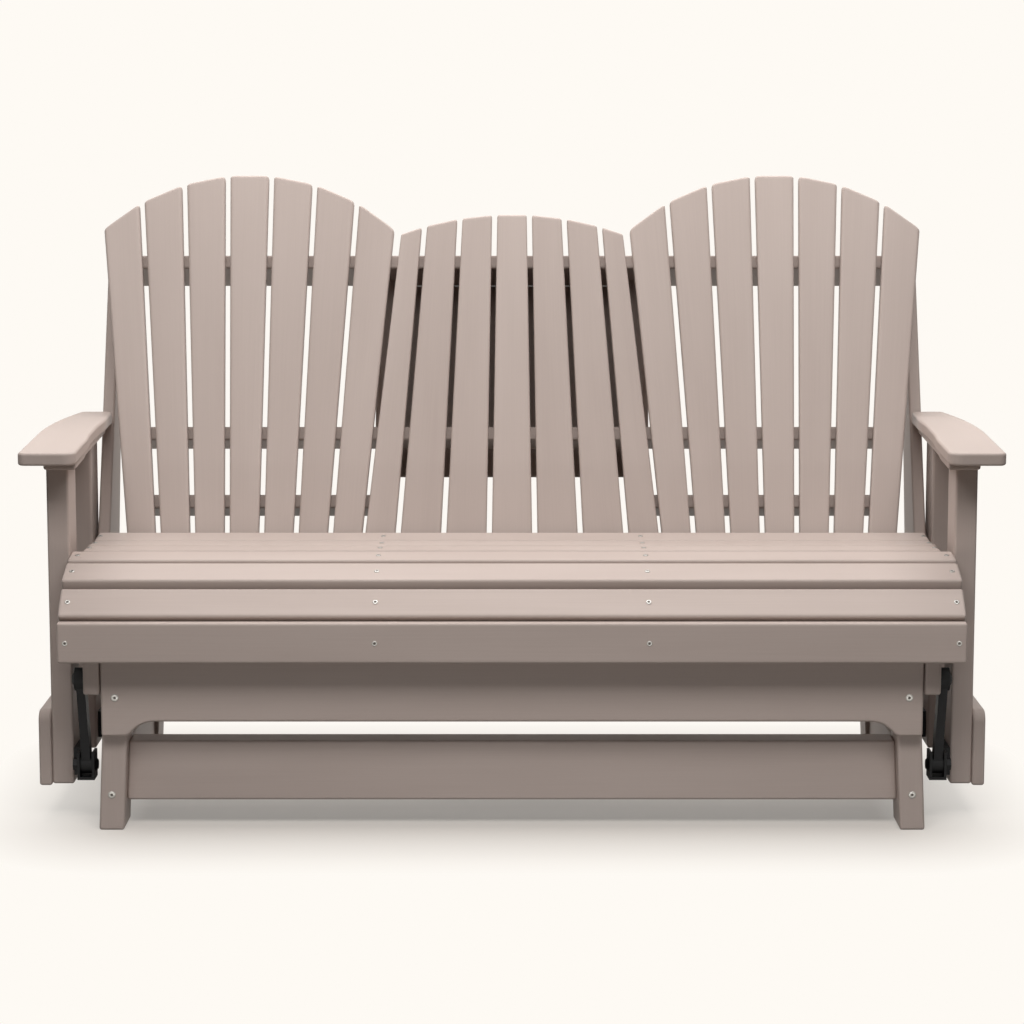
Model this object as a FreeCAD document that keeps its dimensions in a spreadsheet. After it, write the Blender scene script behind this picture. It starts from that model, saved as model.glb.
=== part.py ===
"""Five-foot porch glider bench in solid poly lumber, with a back of three slatted fans.

A contoured seat with its arms hangs from a standing base on four swing links.
Frame: X along the bench, -Y to the front, +Z up, origin on the floor under the
middle of the bench. Depths are measured back from the face of the seat apron.
"""
import FreeCAD, Part
import math
import os

from FreeCAD import Placement, Rotation, Vector

doc = FreeCAD.newDocument("GliderBench")
sheet = doc.addObject("Spreadsheet::Sheet", "Sizes")

SIZES = {
    # Lumber stock: seat and back boards, framing boards on edge, posts and legs
    "board_thick": 22, "frame_thick": 28, "post_thick": 38, "post_wide": 89,
    "leg_thick": 43, "edge_round": 4.5, "middle_at": 366,
    # Seat boards: six slats behind an upright apron
    "seat_half": 762, "rear_slat_half": 744, "apron_low": 306, "apron_tall": 69,
    "inner_support_x": 216, "support_low": 330,
    "support_rear_top": 430, "support_rear": 620,
    # Back: reclined plane and the three fans of slats
    "back_depth": 424, "back_height": 470, "recline": 18, "slat_low": -30,
    "slat_high": 700, "slat_gap": 9.5, "side_centre": 484, "side_pitch": 62.5,
    "side_spread": 0.02734, "side_arc": 395, "side_apex": 663, "outer_trim": 1.5,
    "mid_pitch": 82.2, "mid_spread": -0.0314, "mid_edge_trim": 18.5, "mid_arc": 575,
    "mid_apex": 588,
    # Back framing, set out along the recline and square behind the slats
    "rail_thick": 25, "rail_deep": 89, "top_rail_deep": 136, "top_rail_at": 491,
    "mid_rail_at": 169, "low_rail_at": 43, "upright_deep": 40, "upright_low": -70,
    "panel_half": 255, "panel_low": 125, "panel_tall": 366, "panel_thick": 12,
    # Posts, arms and lower side boards
    "post_x": 762, "front_post_at": 170, "rear_post_at": 450, "post_low": 60,
    "arm_low": 630, "under_arm_thick": 16, "side_board_low": 58,
    "side_board_tall": 133, "side_board_front": 165, "side_board_long": 379,
    # Base
    "leg_x": 657, "front_leg_at": 80, "rear_leg_at": 565, "base_top": 305,
    "foot_splay": 8, "rail_low": 240, "rail_front": 60, "rail_long": 616,
    "base_apron_half": 698, "base_apron_end": 169, "base_apron_mid": 194,
    "stretcher_low": 46, "stretcher_tall": 104, "stretcher_thick": 57,
    "side_stretcher_low": 40, "side_stretcher_tall": 90,
    # Swing links and their pivots
    "front_pivot_at": 150, "rear_pivot_at": 583, "pivot_top": 250, "pivot_low": 100,
    "link_thick": 15, "link_wide": 28, "eye_long": 20, "top_eye_radius": 20,
    "low_eye_radius": 16, "top_eye_x": 744, "low_eye_x": 736, "bush_radius": 9,
    "pin_radius": 6, "fit": 0.05, "cheek": 4.5, "hanger_tall": 48, "hanger_low": 76,
    # Fasteners
    "screw_radius": 2.5, "screw_head": 4.6, "screw_head_tall": 1.6, "screw_long": 45,
    "bolt_radius": 4, "bolt_head": 6.4, "bolt_head_tall": 2.8, "hole_room": 0.25,
    "dome_share": 0.6,
}

for row, (alias, number) in enumerate(SIZES.items(), start=1):
    sheet.set(f"A{row}", alias)
    sheet.set(f"B{row}", str(number))
    sheet.setAlias(f"B{row}", alias)
doc.recompute()


def size(alias):
    """The number that the sheet holds under an alias."""
    return float(sheet.get(alias))


BOARD = size("board_thick")
FRAME = size("frame_thick")
EASE = size("edge_round")
RECLINE = math.radians(size("recline"))
nodes = []


def y_at(depth):
    """Y of a depth behind the face of the seat apron."""
    return depth - size("middle_at")


def bind(obj, **sizes):
    """Tie properties of an object to expressions on the sheet."""
    for prop, text in sizes.items():
        obj.setExpression(prop, text)
    return obj


def block(name, x, depth, z, long, wide, tall):
    """A square-cut block from its low corner; its three sizes are sheet expressions."""
    box = doc.addObject("Part::Box", name)
    bind(box, Length=long, Width=wide, Height=tall)
    box.Placement.Base = Vector(x, y_at(depth), z)
    return box


def cut(name, base, tool):
    result = doc.addObject("Part::Cut", name)
    result.Base, result.Tool = base, tool
    return result


def join(name, pieces):
    result = doc.addObject("Part::MultiFuse", name)
    result.Shapes = pieces
    return result


def eased(name, base, radius=EASE, pick=None):
    """Round over the sawn edges of a board, or only those that pick chooses."""
    doc.recompute()
    fillet = doc.addObject("Part::Fillet", name)
    fillet.Base = base
    edges = enumerate(base.Shape.Edges, start=1)
    fillet.Edges = [(i, radius, radius) for i, e in edges if pick is None or pick(e)]
    return fillet


def mirrored(name, source):
    """The left-hand twin of a right-hand piece."""
    twin = doc.addObject("Part::Mirroring", name)
    twin.Source = source
    twin.Normal = Vector(1, 0, 0)
    return twin


def group(name, pieces):
    result = doc.addObject("Part::Compound", name)
    result.Links = pieces
    return result


def node(obj, label):
    """Name a finished sub-part."""
    obj.Label = label
    nodes.append(obj)
    return obj


def both_sides(right, label):
    """Two nodes: the piece on the right and its twin on the left."""
    node(right, f"{label}_right")
    node(mirrored(f"{label}_twin", right), f"{label}_left")


def pair(right, label):
    """One node that holds the right-hand piece and its left-hand twin."""
    node(group(f"{label}_pair", [right, mirrored(f"{label}_twin", right)]), label)


def outline_body(name, edges, thick, placement):
    """A board sawn to an outline: a sketch padded to the board's thickness."""
    body = doc.addObject("PartDesign::Body", name)
    sketch = body.newObject("Sketcher::SketchObject", f"{name}_outline")
    plane = [f for f in body.Origin.OriginFeatures if f.Role == "XY_Plane"][0]
    sketch.AttachmentSupport = [(plane, "")]
    sketch.MapMode = "FlatFace"
    for edge in edges:
        sketch.addGeometry(edge, False)
    pad = body.newObject("PartDesign::Pad", f"{name}_board")
    pad.Profile = sketch
    bind(pad, Length=thick)
    body.Placement = placement
    doc.recompute()
    return body


def path(points):
    """Straight edges through a list of flat points."""
    flat = [Vector(a, b, 0) for a, b in points]
    return [Part.LineSegment(p, q) for p, q in zip(flat, flat[1:])]


def level_arc(at, run, rise, forward=True):
    """An arc that leaves a point along the first axis and bends sideways by a rise."""
    radius = (run * run + rise * rise) / (2 * abs(rise))
    lift = math.copysign(radius - math.sqrt(radius * radius - run * run / 4), rise)
    level = Vector(at[0], at[1], 0)
    through = level + Vector(run / 2, lift, 0)
    far = level + Vector(run, rise, 0)
    return Part.Arc(level, through, far) if forward else Part.Arc(far, through, level)


def reverse_curve(start, end, share=0.5):
    """Two arcs that carry an edge sideways and leave it parallel to the first axis.

    The share is how much of the way the first arc takes.
    """
    run, rise = end[0] - start[0], end[1] - start[1]
    rest = 1 - share
    return [level_arc(start, run * share, rise * share),
            level_arc(end, -run * rest, -rise * rest, forward=False)]


# Outlines drawn as depth and height stand in the plane square to X.
UPRIGHT_PLANE = Rotation(Vector(1, 1, 1), 120)


# Fasteners: each is a domed head on a plain shank, and its hole has a little room.
screws = {"seat_screws": [], "base_bolts": [], "frame_bolts": [], "back_screws": []}
holes = {name: [] for name in screws}


def fastener(kind, at, into, long, style="bolt"):
    """A bolt or screw whose head seats at a point and whose shank runs along a direction."""
    radius, head = size(f"{style}_radius"), size(f"{style}_head")
    tall = size(f"{style}_head_tall")
    axis = Vector(*into).normalize()
    dome = Part.makeCone(head, head * size("dome_share"), tall, at, -axis)
    shank = Part.makeCylinder(radius, long, at, axis)
    screws[kind].append(dome.fuse(shank).removeSplitter())
    bore = radius + size("hole_room")
    holes[kind].append(Part.makeCylinder(bore, long + 2 * EASE, at - axis * EASE, axis))


def fastener_node(kind):
    """All fasteners of one kind as separate solids in one node."""
    feature = doc.addObject("Part::Feature", kind)
    feature.Shape = Part.Compound(screws[kind])
    node(feature, kind)


def drilled(name, base, kind):
    """A board with the holes of one kind of fastener cut through it."""
    doc.recompute()
    near = [h for h in holes[kind] if h.BoundBox.intersect(base.Shape.BoundBox)]
    if not near:
        return base
    tool = doc.addObject("Part::Feature", f"{name}_holes")
    tool.Shape = Part.Compound(near)
    return cut(f"{name}_drilled", base, tool)


# Seat contour: for each slat the depth and height of its top front edge, its tilt,
# its width and its half length.
CONTOUR = [
    (15.5, 384, 40, 62, "seat_half"),
    (67, 436.5, 18, 66, "seat_half"),
    (137, 460, 6, 60, "seat_half"),
    (203, 467, -2.5, 64, "rear_slat_half"),
    (273, 464.5, -2, 64, "rear_slat_half"),
    (343, 462.8, 4, 64, "rear_slat_half"),
]
END_SCREW_INSET = 7
INNER_SCREW_X = size("inner_support_x") + FRAME / 2
END_SCREW_X = size("seat_half") - FRAME / 2

apron_middle = size("apron_low") + size("apron_tall") / 2
for x in (-END_SCREW_X, -INNER_SCREW_X, INNER_SCREW_X, END_SCREW_X):
    fastener("seat_screws", Vector(x, y_at(0), apron_middle), (0, 1, 0), size("screw_long"), "screw")
for depth, height, tilt, wide, half in CONTOUR:
    slope = math.radians(tilt)
    middle = Vector(0, y_at(depth) + wide / 2 * math.cos(slope), height + wide / 2 * math.sin(slope))
    end_x = min(END_SCREW_X, size(half) - END_SCREW_INSET)
    for x in (-end_x, -INNER_SCREW_X, INNER_SCREW_X, end_x):
        down = (0, math.sin(slope), -math.cos(slope))
        fastener("seat_screws", middle + Vector(x, 0, 0), down, size("screw_long"), "screw")

apron = block("apron_blank", -size("seat_half"), 0, size("apron_low"),
              "2 * Sizes.seat_half", "Sizes.board_thick", "Sizes.apron_tall")
node(drilled("seat_apron", eased("apron_eased", apron), "seat_screws"), "seat_apron_board")

for number, (depth, height, tilt, wide, half) in enumerate(CONTOUR, start=1):
    slope = math.radians(tilt)
    blank = block(f"slat_{number}_blank", -size(half), depth, height,
                  f"2 * Sizes.{half}", str(wide), "Sizes.board_thick")
    corner = Vector(-size(half), y_at(depth) + BOARD * math.sin(slope), height - BOARD * math.cos(slope))
    blank.Placement = Placement(corner, Rotation(Vector(1, 0, 0), tilt))
    board = eased(f"slat_{number}_eased", blank)
    node(drilled(f"seat_slat_{number}", board, "seat_screws"), f"seat_slat_{number}")


# Back plane: a place set out across, up the recline, and square behind the slat faces.
def behind(x, up, back):
    depth = size("back_depth") + up * math.sin(RECLINE) + back * math.cos(RECLINE)
    height = size("back_height") + up * math.cos(RECLINE) - back * math.sin(RECLINE)
    return Vector(x, y_at(depth), height)


def on_back(x, up, back):
    """Placement with X across, Y up the recline and Z out of the slat faces."""
    return Placement(behind(x, up, back), Rotation(Vector(1, 0, 0), 90 - size("recline")))


def back_block(name, x, up, back, long, tall, deep):
    """A block on the back plane; back is the distance of its rear face."""
    box = doc.addObject("Part::Box", name)
    bind(box, Length=long, Width=tall, Height=deep)
    box.Placement = on_back(x, up, back)
    return box


def fan_slat(name, fan, left_line, right_line, left_trim, right_trim):
    """A slat between two lines of a fan, its top sawn to the fan's arc."""
    wedge = doc.addObject("Part::Wedge", name)
    centre = "Sizes.side_centre" if fan == "side" else "0"

    def edge_at(up, line, shift):
        pitch = f"(Sizes.{fan}_pitch + Sizes.{fan}_spread * Sizes.{up})"
        return f"{centre} + {line} * {pitch} + {shift}"

    left_shift = f"Sizes.slat_gap / 2 + {left_trim}"
    right_shift = f"-Sizes.slat_gap / 2 - {right_trim}"
    bind(wedge,
         Xmin=edge_at("slat_low", left_line, left_shift),
         Xmax=edge_at("slat_low", right_line, right_shift),
         X2min=edge_at("slat_high", left_line, left_shift),
         X2max=edge_at("slat_high", right_line, right_shift),
         Ymin="Sizes.slat_low", Ymax="Sizes.slat_high",
         Zmin="0", Zmax="Sizes.board_thick", Z2min="0", Z2max="Sizes.board_thick")
    wedge.Placement = on_back(0, 0, BOARD)
    arc = bind(doc.addObject("Part::Cylinder", f"{name}_arc"),
               Radius=f"Sizes.{fan}_arc", Height="Sizes.board_thick")
    arc_x = size("side_centre") if fan == "side" else 0
    arc.Placement = on_back(arc_x, size(f"{fan}_apex") - size(f"{fan}_arc"), BOARD)
    sawn = doc.addObject("Part::Common", f"{name}_sawn")
    sawn.Base, sawn.Tool = wedge, arc
    return eased(f"{name}_eased", sawn)


SLATS_IN_FAN = 7
for place in range(SLATS_IN_FAN):
    line = place - SLATS_IN_FAN / 2
    outermost = place == SLATS_IN_FAN - 1
    trim = "Sizes.outer_trim" if outermost else "0"
    slat = fan_slat(f"side_slat_{place + 1}_blank", "side", line, line + 1, "0", trim)
    pair(slat, f"side_fan_slat_{place + 1}")
for place in range(SLATS_IN_FAN):
    line = place - SLATS_IN_FAN / 2
    left_trim = "Sizes.mid_edge_trim" if place == 0 else "0"
    right_trim = "Sizes.mid_edge_trim" if place == SLATS_IN_FAN - 1 else "0"
    slat = fan_slat(f"mid_slat_{place + 1}_blank", "mid", line, line + 1, left_trim, right_trim)
    node(slat, f"centre_fan_slat_{place + 1}")

# Back framing: the top rail runs between the two end uprights, which lean a little more
# than the slats, and the rails below it end behind the outermost slats. Two inner
# uprights stand behind the rails and carry a panel behind the middle fan.
RAIL = size("rail_thick")
RAIL_BACK = BOARD + size("rail_deep")
TOP_RAIL_BACK = BOARD + size("top_rail_deep")
INNER_UPRIGHT_BACK = RAIL_BACK + size("upright_deep")
PANEL_BACK = INNER_UPRIGHT_BACK + size("panel_thick")
INNER_X = size("inner_support_x")
END_X = size("seat_half") - FRAME
LOW_RAIL_END, MID_RAIL_END = 694, 705
END_FOOT_FRONT, END_HEAD_FRONT, END_FOOT_REAR = 51, 112, 200
UPRIGHT_TOP = size("top_rail_at") + RAIL
BACK_SCREW_LONG = 90
END_SCREW_LONG = 70
PANEL_SCREW_ROWS = (0.45, 0.7)
PANEL_SCREW_LONG = 45
out_of_back = (0, -math.cos(RECLINE), math.sin(RECLINE))
down_the_back = (0, -math.sin(RECLINE), -math.cos(RECLINE))
for side in (-1, 1):
    outside = behind(side * (END_X + BOARD), size("top_rail_at") + RAIL / 2, (END_HEAD_FRONT + TOP_RAIL_BACK) / 2)
    fastener("back_screws", outside, (-side, 0, 0), END_SCREW_LONG)
    for place, back in (("low", INNER_UPRIGHT_BACK), ("mid", PANEL_BACK)):
        seat = behind(side * INNER_SCREW_X, size(f"{place}_rail_at") + RAIL / 2, back)
        fastener("back_screws", seat, out_of_back, BACK_SCREW_LONG)
    top = behind(side * INNER_SCREW_X, size("top_rail_at") + RAIL, (RAIL_BACK + TOP_RAIL_BACK) / 2)
    fastener("back_screws", top, down_the_back, BACK_SCREW_LONG)
    for row in PANEL_SCREW_ROWS:
        up = size("panel_low") + row * size("panel_tall")
        seat = behind(side * INNER_SCREW_X, up, PANEL_BACK)
        fastener("back_screws", seat, out_of_back, PANEL_SCREW_LONG)

low_rail = back_block("low_rail_blank", INNER_X, size("low_rail_at"), RAIL_BACK,
                      f"{LOW_RAIL_END} - Sizes.inner_support_x", "Sizes.rail_thick", "Sizes.rail_deep")
pair(drilled("low_rail", eased("low_rail_eased", low_rail), "back_screws"), "back_low_rail")
for place, end, back, deep in (("mid", MID_RAIL_END, RAIL_BACK, "rail_deep"),
                               ("top", END_X, TOP_RAIL_BACK, "top_rail_deep")):
    rail = back_block(f"{place}_rail_blank", -end, size(f"{place}_rail_at"), back,
                      f"2 * {end}", "Sizes.rail_thick", f"Sizes.{deep}")
    board = drilled(f"{place}_rail", eased(f"{place}_rail_eased", rail), "back_screws")
    node(board, f"back_{place}_rail")
panel = back_block("panel_blank", -size("panel_half"), size("panel_low"), PANEL_BACK,
                   "2 * Sizes.panel_half", "Sizes.panel_tall", "Sizes.panel_thick")
node(drilled("panel", eased("panel_eased", panel), "back_screws"), "centre_back_panel")

# Bolts of the seat frame, right hand and left hand.
SUPPORT_BOLT_HEIGHTS = (350, 420)
BOARD_BOLT_HEIGHTS = (95, 165)
FRONT_POST_MIDDLE = size("front_post_at") + size("post_wide") / 2
REAR_POST_MIDDLE = size("rear_post_at") + size("post_wide") / 2
POST_OUT = size("post_x") + size("post_thick")
for side in (-1, 1):
    for depth in (FRONT_POST_MIDDLE, REAR_POST_MIDDLE):
        for height in SUPPORT_BOLT_HEIGHTS:
            seat = Vector(side * POST_OUT, y_at(depth), height)
            fastener("frame_bolts", seat, (-side, 0, 0), size("post_thick") + FRAME / 2 - EASE)
        for height in BOARD_BOLT_HEIGHTS:
            seat = Vector(side * (POST_OUT + BOARD), y_at(depth), height)
            fastener("frame_bolts", seat, (-side, 0, 0), BOARD + FRAME - 2 * EASE)

# Seat supports: framing boards on edge, sawn to the underside of the slats, half
# lapped at the rear with the uprights of the back.
def support_outline():
    under = []
    for depth, height, tilt, wide, half in CONTOUR:
        slope = math.radians(tilt)
        front = depth + BOARD * math.sin(slope), height - BOARD * math.cos(slope)
        rear = front[0] + wide * math.cos(slope), front[1] + wide * math.sin(slope)
        under += [front, rear]
    first_depth, first_height = under[0]
    nose = BOARD, first_height - (first_depth - BOARD) * math.tan(math.radians(CONTOUR[0][2]))
    rear, low, heel = size("support_rear"), size("support_low"), size("support_rear_top")
    tail = [(under[-1][0], heel), (rear, heel), (rear, low)]
    return path([(BOARD, low), nose] + under + tail + [(BOARD, low)])


inner_upright = back_block("inner_upright_blank", INNER_X, size("upright_low"), INNER_UPRIGHT_BACK,
                           "Sizes.frame_thick", "Sizes.top_rail_at - Sizes.upright_low", "Sizes.upright_deep")
end_corners = [behind(END_X, up, back) for up, back in (
    (size("upright_low"), END_FOOT_FRONT), (UPRIGHT_TOP, END_HEAD_FRONT),
    (UPRIGHT_TOP, TOP_RAIL_BACK), (size("upright_low"), END_FOOT_REAR))]
end_sides = path([(corner.y, corner.z) for corner in end_corners + end_corners[:1]])
end_upright = outline_body("end_upright_blank", end_sides, "Sizes.board_thick",
                           Placement(Vector(END_X, 0, 0), UPRIGHT_PLANE))
end_upright = eased("end_upright_eased", end_upright)
for name, x, upright in (("inner", INNER_X, inner_upright), ("end", END_X, end_upright)):
    place = Placement(Vector(x, y_at(0), 0), UPRIGHT_PLANE)
    support = outline_body(f"{name}_support", support_outline(), "Sizes.frame_thick", place)
    lap = block(f"{name}_lap", x + FRAME / 2, size("back_depth"), size("support_low"), "Sizes.frame_thick",
                "Sizes.support_rear - Sizes.back_depth", "Sizes.support_rear_top - Sizes.support_low")
    lapped = cut(f"{name}_upright_lapped", upright, lap)
    housed = cut(f"{name}_support_housed", support, lapped)
    housed = drilled(f"{name}_support", housed, "seat_screws")
    if name == "end":
        housed = drilled("end_support_bolts", housed, "frame_bolts")
    pair(housed, f"seat_{name}_supports")
    pair(drilled(f"{name}_upright", lapped, "back_screws"), f"back_{name}_uprights")
for kind in ("seat_screws", "back_screws"):
    fastener_node(kind)

# Posts: one pair stands ahead of the seat frame's middle and one behind it, bolted to its
# ends. Their tops are sawn to the slope of the arms, which rise a little to the back.
ARM_FRONT, ARM_REAR, ARM_SLOPE = 72, 563, 2
arm_front_edge = Vector(0, y_at(ARM_FRONT), size("arm_low") + BOARD)
SLOPED = Placement(Vector(), Rotation(Vector(1, 0, 0), ARM_SLOPE), arm_front_edge)
above = block("above_posts", size("post_x"), 0, size("arm_low") - size("under_arm_thick"),
              "Sizes.post_wide", "Sizes.support_rear", "Sizes.post_wide")
above.Placement = SLOPED * above.Placement
for name in ("front", "rear"):
    post = block(f"{name}_post_blank", size("post_x"), size(f"{name}_post_at"), size("post_low"),
                 "Sizes.post_thick", "Sizes.post_wide", "Sizes.arm_low + Sizes.board_thick - Sizes.post_low")
    post = eased(f"{name}_post_eased", cut(f"{name}_post_sawn", post, above))
    both_sides(drilled(f"{name}_post", post, "frame_bolts"), f"{name}_post")

# Lower side boards: they tie each front post to its rear post, top corners rounded.
SIDE_BOARD_CORNER = 20
side_board = block("side_board_blank", POST_OUT, size("side_board_front"), size("side_board_low"),
                   "Sizes.board_thick", "Sizes.side_board_long", "Sizes.side_board_tall")


def top_cross_edge(edge):
    """An edge along X at the top of the lower side board."""
    box = edge.BoundBox
    top = size("side_board_low") + size("side_board_tall")
    return box.XLength > BOARD - 1 and box.ZMin > top - 1


side_board = eased("side_board_corners", side_board, SIDE_BOARD_CORNER, top_cross_edge)
side_board = eased("side_board_eased", side_board)
pair(drilled("side_board", side_board, "frame_bolts"), "lower_side_boards")
fastener_node("frame_bolts")

# Arms: broad boards that end in front of the uprights of the back. The inner edge steps out
# and in again, and the outer edge draws in to the rear. Each place is a depth and an X.
ARM_INNER = [(215, 736), (300, 739.5), (380, 739.5), (465, 736)]
ARM_OUTER, ARM_REAR_OUT = (300, 833), 793
INNER_CORNER, ARM_CORNER = 22, 12
BOARD_UNDER_ARM_FRONT, BOARD_UNDER_ARM_REAR, BOARD_UNDER_ARM_OUT = 128, 540, 798
UNDER_INNER = [(215, 743), (300, 746.5)]


def turned_over(height):
    """Placement of an outline drawn as depth and X, padded down from a height, on the arm's slope."""
    return SLOPED * Placement(Vector(0, y_at(0), height), Rotation(Vector(1, 1, 0), 180))


def arm_corner(edge, inner=False):
    """An upright edge at a corner of the arm: the inner front one, or one of the others."""
    box = edge.BoundBox
    front = abs(box.YMin - y_at(ARM_FRONT)) < 1
    rear = abs(box.YMin - y_at(ARM_REAR)) < 1
    inside = front and abs(box.XMin - ARM_INNER[0][1]) < 1
    return box.ZLength > BOARD - 1 and (inside if inner else rear or (front and not inside))


arm_edges = path([(ARM_FRONT, ARM_INNER[0][1]), ARM_INNER[0]])
arm_edges += reverse_curve(ARM_INNER[0], ARM_INNER[1])
arm_edges += path([ARM_INNER[1], ARM_INNER[2]])
arm_edges += reverse_curve(ARM_INNER[2], ARM_INNER[3])
arm_edges += path([ARM_INNER[3], (ARM_REAR, ARM_INNER[3][1]), (ARM_REAR, ARM_REAR_OUT)])
arm_edges.append(level_arc(ARM_OUTER, ARM_REAR - ARM_OUTER[0], ARM_REAR_OUT - ARM_OUTER[1], forward=False))
arm_edges += path([ARM_OUTER, (ARM_FRONT, ARM_OUTER[1]), (ARM_FRONT, ARM_INNER[0][1])])
arm = outline_body("arm_blank", arm_edges, "Sizes.board_thick", turned_over(size("arm_low") + BOARD))
arm = eased("arm_inner_corner", arm, INNER_CORNER, lambda edge: arm_corner(edge, inner=True))
arm = eased("arm_corners", arm, ARM_CORNER, arm_corner)
both_sides(eased("arm_eased", arm), "arm_board")

# Boards under the arms: thinner, set in from the arm's edges, across the tops of the posts.
under_front = BOARD_UNDER_ARM_FRONT, UNDER_INNER[0][1]
under_edges = path([under_front, UNDER_INNER[0]]) + reverse_curve(*UNDER_INNER)
under_edges += path([UNDER_INNER[1], (BOARD_UNDER_ARM_REAR, UNDER_INNER[1][1]),
                     (BOARD_UNDER_ARM_REAR, BOARD_UNDER_ARM_OUT),
                     (BOARD_UNDER_ARM_FRONT, BOARD_UNDER_ARM_OUT), under_front])
under_arm = outline_body("under_arm_blank", under_edges, "Sizes.under_arm_thick", turned_over(size("arm_low")))
pair(eased("under_arm_eased", under_arm), "under_arm_boards")

# Base bolts: aprons to legs, legs to side stretchers, side rails to legs.
APRON_BOLT_X, APRON_BOLT_HEIGHT = 674, 236
LEG_BOLT_X, LEG_BOLT_HEIGHT = 685, 62
RAIL_BOLT_HEIGHT, RAIL_BOLT_INSET = 280, 24
RAIL_OUT = size("leg_x") + size("leg_thick") + FRAME
LEG_BOLT_LONG, APRON_BOLT_LONG = 125, 70
FRONT_FACE = size("front_leg_at")
REAR_FACE = size("rear_leg_at") + size("post_wide")
for side in (-1, 1):
    for face, into in ((FRONT_FACE, 1), (REAR_FACE, -1)):
        seat = Vector(side * APRON_BOLT_X, y_at(face - into * BOARD), APRON_BOLT_HEIGHT)
        fastener("base_bolts", seat, (0, into, 0), APRON_BOLT_LONG)
        seat = Vector(side * LEG_BOLT_X, y_at(face), LEG_BOLT_HEIGHT)
        fastener("base_bolts", seat, (0, into, 0), LEG_BOLT_LONG)
        seat = Vector(side * RAIL_OUT, y_at(face + into * RAIL_BOLT_INSET), RAIL_BOLT_HEIGHT)
        fastener("base_bolts", seat, (-side, 0, 0), FRAME + size("leg_thick") / 2)


def pivot_bore(name, depth, height, x, long):
    """The bore for a pivot bolt, along X, with its running clearance."""
    bore = doc.addObject("Part::Cylinder", name)
    bind(bore, Radius="Sizes.pin_radius + Sizes.fit", Height=str(long))
    bore.Placement = Placement(Vector(x, y_at(depth), height), Rotation(Vector(0, 1, 0), 90))
    return bore


PIVOTS = (("front", size("front_pivot_at")), ("rear", size("rear_pivot_at")))
BORE_LONG = 200
top_bores = group("top_bores", [
    pivot_bore(f"{name}_top_bore", depth, size("pivot_top"), size("leg_x") - BOARD, BORE_LONG)
    for name, depth in PIVOTS])

# Base legs, side rails and stretchers. The legs stand straight behind the apron and
# splay out below it.
def upright_front(depth):
    """Placement of an outline drawn as X and height, padded forwards from a depth."""
    return Placement(Vector(0, y_at(depth), 0), Rotation(Vector(1, 0, 0), 90))


KNEE = size("base_apron_end")


def leg_inside(height):
    """X of a leg's inner face at a height below the knee."""
    return size("leg_x") + size("foot_splay") * (1 - height / KNEE)


def off_the_knee(edge):
    """Any edge of a leg but the two slight bends across its faces."""
    return abs(edge.BoundBox.Center.z - KNEE) > 1 or edge.BoundBox.ZLength > 1


thick, head = size("leg_thick"), size("base_top")
leg_sides = [(leg_inside(0), 0), (leg_inside(KNEE), KNEE), (leg_inside(KNEE), head)]
leg_sides += [(x + thick, z) for x, z in reversed(leg_sides)]
for name in ("front", "rear"):
    rear_of_leg = upright_front(size(f"{name}_leg_at") + size("post_wide"))
    leg = outline_body(f"{name}_leg_blank", path(leg_sides + leg_sides[:1]), "Sizes.post_wide", rear_of_leg)
    leg = eased(f"{name}_leg_eased", leg, EASE, off_the_knee)
    bored = cut(f"{name}_leg_bored", leg, top_bores)
    pair(drilled(f"{name}_leg", bored, "base_bolts"), f"base_{name}_legs")
rail = block("side_rail_blank", size("leg_x") + size("leg_thick"), size("rail_front"), size("rail_low"),
             "Sizes.frame_thick", "Sizes.rail_long", "Sizes.base_top - Sizes.rail_low")
rail = cut("side_rail_bored", eased("side_rail_eased", rail), top_bores)
pair(drilled("side_rail", rail, "base_bolts"), "base_side_rails")

SIDE_STRETCHER_SET = 12
between_legs = "Sizes.rear_leg_at - Sizes.front_leg_at - Sizes.post_wide"
side_stretcher = block("side_stretcher_blank", size("leg_x") + SIDE_STRETCHER_SET,
                       size("front_leg_at") + size("post_wide"), size("side_stretcher_low"),
                       "Sizes.frame_thick", between_legs, "Sizes.side_stretcher_tall")
side_stretcher = eased("side_stretcher_eased", side_stretcher)
pair(drilled("side_stretcher", side_stretcher, "base_bolts"), "base_side_stretchers")

STRETCHER_SET = 30
low, high = size("stretcher_low"), size("stretcher_low") + size("stretcher_tall")
ends = [(leg_inside(low), low), (leg_inside(high), high)]
ends += [(-x, z) for x, z in reversed(ends)]
stretcher_rear = size("front_leg_at") + STRETCHER_SET + size("stretcher_thick")
stretcher = outline_body("stretcher_blank", path(ends + ends[:1]), "Sizes.stretcher_thick",
                         upright_front(stretcher_rear))
node(eased("stretcher_eased", stretcher), "base_front_stretcher")

# Front apron of the base: its ends drop in a double curve over the legs.
half, end, mid = size("base_apron_half"), size("base_apron_end"), size("base_apron_mid")
ARCH_FOOT, ARCH_SHOULDER, TOE_SHARE = 661, 608, 0.25
top = size("base_top")
arch = path([(-half, end), (-half, top), (half, top), (half, end), (ARCH_FOOT, end)])
arch += reverse_curve((ARCH_FOOT, end), (ARCH_SHOULDER, mid), TOE_SHARE)
arch += path([(ARCH_SHOULDER, mid), (-ARCH_SHOULDER, mid)])
arch += reverse_curve((-ARCH_SHOULDER, mid), (-ARCH_FOOT, end), 1 - TOE_SHARE)
arch += path([(-ARCH_FOOT, end), (-half, end)])
base_apron = outline_body("base_apron_blank", arch, "Sizes.board_thick", upright_front(FRONT_FACE))
base_apron = drilled("base_apron", eased("base_apron_eased", base_apron), "base_bolts")
node(base_apron, "base_front_apron")
rear_apron = block("rear_apron_blank", -half, REAR_FACE, end, "2 * Sizes.base_apron_half",
                   "Sizes.board_thick", "Sizes.base_top - Sizes.base_apron_end")
rear_apron = drilled("rear_apron", eased("rear_apron_eased", rear_apron), "base_bolts")
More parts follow.
